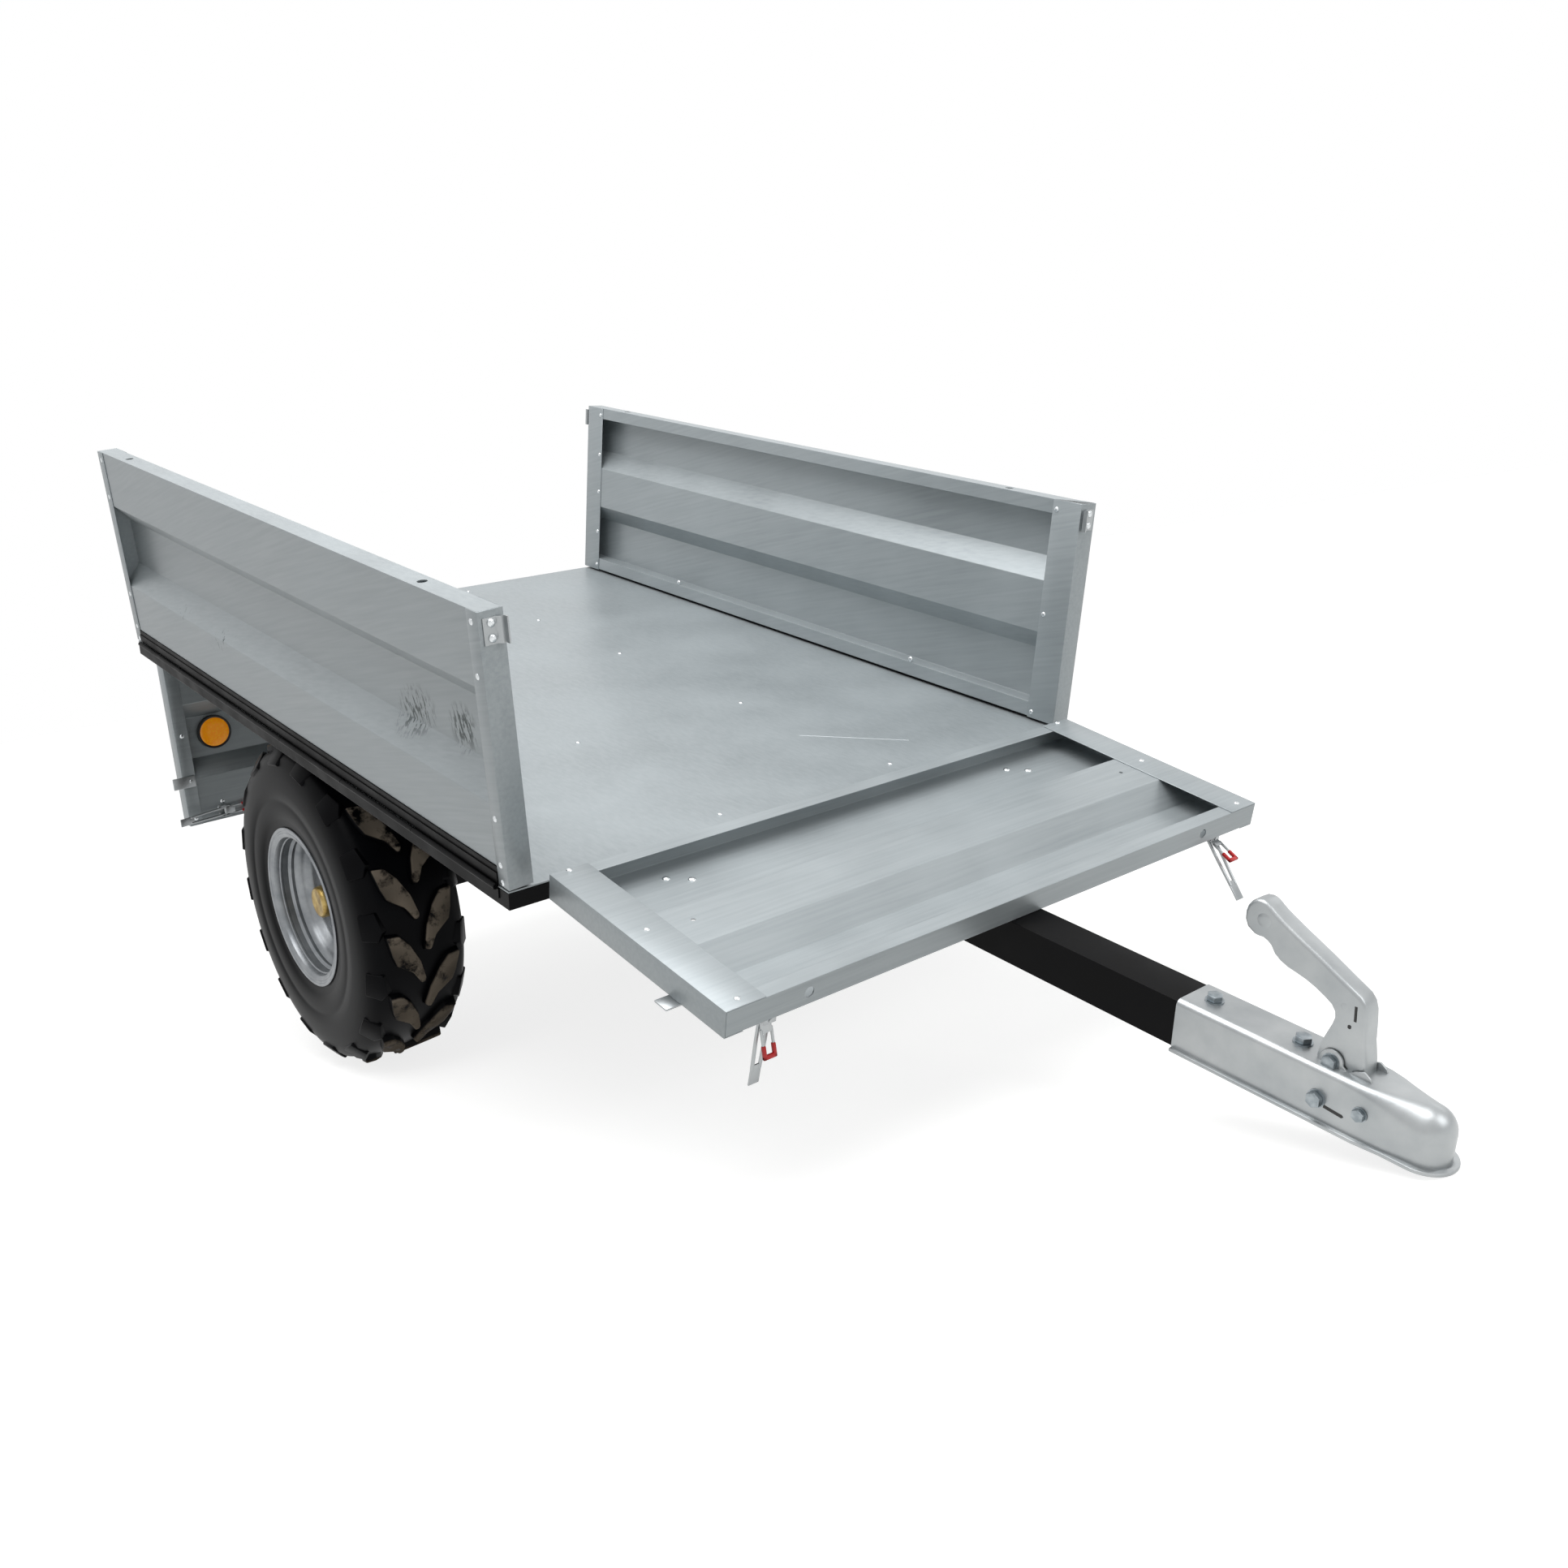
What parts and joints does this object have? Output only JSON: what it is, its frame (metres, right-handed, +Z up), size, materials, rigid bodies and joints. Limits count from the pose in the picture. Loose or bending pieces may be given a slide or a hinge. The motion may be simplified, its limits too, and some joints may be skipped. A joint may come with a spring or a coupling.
{
  "type": "tipping garden trailer",
  "caption": "Small single axle tipping trailer with ribbed zinc drop sides and gates, black tube frame, ball coupler with a lever and lugged off-road tyres.",
  "frame": {"origin": "centre of the bounding box on the ground, as the trailer parks on its coupler and tyres", "axes": "+Y towards the rear, +Z up from the ground, +X to the trailer's left; the drawbar points to -Y"},
  "size_m": [1.124, 2.4088, 1.1661],
  "materials": {
    "black_paint": "satin",
    "zinc_sheet": "satin",
    "bright_zinc": "bright",
    "latch_steel": "bright",
    "tyre_rubber": "satin",
    "silver_rim": "satin",
    "yellow_zinc": "satin",
    "amber_lens": "gloss"
  },
  "bodies": {
    "chassis": {"drawbar": "black_paint", "chassis_cross": "black_paint", "leg_left": "black_paint", "leg_right": "black_paint", "axle_beam": "black_paint", "spindles": "bright_zinc", "strut_left": "black_paint", "strut_right": "black_paint", "pivot_tube": "black_paint", "rest_pad": "black_paint", "tip_latch": "bright_zinc", "coupler_body": "bright_zinc", "coupler_handle": "bright_zinc", "coupler_pins": "bright_zinc"},
    "bed": {"bed_frame": "black_paint", "bed_cross_members": "black_paint", "bed_beams": "black_paint", "bed_floor": "zinc_sheet", "tip_lugs": "black_paint", "tip_catch": "black_paint", "gate_hinge_lugs": "black_paint", "side_hinge_leaves": "black_paint"},
    "front_gate": {"front_gate_sheet": "zinc_sheet", "front_gate_caps": "zinc_sheet", "front_gate_straps": "black_paint", "front_gate_latches": "latch_steel"},
    "rear_gate": {"rear_gate_sheet": "zinc_sheet", "rear_gate_caps": "zinc_sheet", "rear_gate_straps": "black_paint", "rear_gate_latches": "latch_steel", "rear_gate_reflectors": "amber_lens"},
    "side_left": {"side_sheet_left": "zinc_sheet", "side_rail_left": "black_paint", "side_caps_left": "zinc_sheet", "side_keepers_left": "latch_steel"},
    "wheel_left": {"tyre_left": "tyre_rubber", "rim_left": "silver_rim", "hub_left": "silver_rim", "dust_cap_left": "yellow_zinc"},
    "side_right": {"side_sheet_right": "zinc_sheet", "side_rail_right": "black_paint", "side_caps_right": "zinc_sheet", "side_keepers_right": "latch_steel"},
    "wheel_right": {"tyre_right": "tyre_rubber", "rim_right": "silver_rim", "hub_right": "silver_rim", "dust_cap_right": "yellow_zinc"}
  },
  "joints": [
    {"name": "bed_tip", "type": "hinge", "parent": "chassis", "child": "bed", "pos_m": [0, 0.6071, 0.58467], "axis": [-1, 0, 0], "range_deg": [0, 45]},
    {"name": "front_gate", "type": "hinge", "parent": "bed", "child": "front_gate", "pos_m": [0, -0.29486, 0.37074], "axis": [-1, 0, 0], "range_deg": [0, 94.93]},
    {"name": "rear_gate", "type": "hinge", "parent": "bed", "child": "rear_gate", "pos_m": [0, 1.09498, 0.79792], "axis": [1, 0, 0], "range_deg": [0, 187]},
    {"name": "side_left", "type": "hinge", "parent": "bed", "child": "side_left", "pos_m": [0.5425, 0.3958, 0.59819], "axis": [0, 0.9559, 0.2938], "range_deg": [-3.7, 176.3]},
    {"name": "side_right", "type": "hinge", "parent": "bed", "child": "side_right", "pos_m": [-0.5425, 0.3958, 0.59819], "axis": [0, -0.9559, -0.2938], "range_deg": [-3.7, 176.3]},
    {"name": "wheel_left", "type": "hinge", "parent": "chassis", "child": "wheel_left", "pos_m": [0.426, 0.55951, 0.297], "axis": [1, 0, 0], "continuous": true},
    {"name": "wheel_right", "type": "hinge", "parent": "chassis", "child": "wheel_right", "pos_m": [-0.426, 0.55951, 0.297], "axis": [1, 0, 0], "continuous": true}
  ]
}
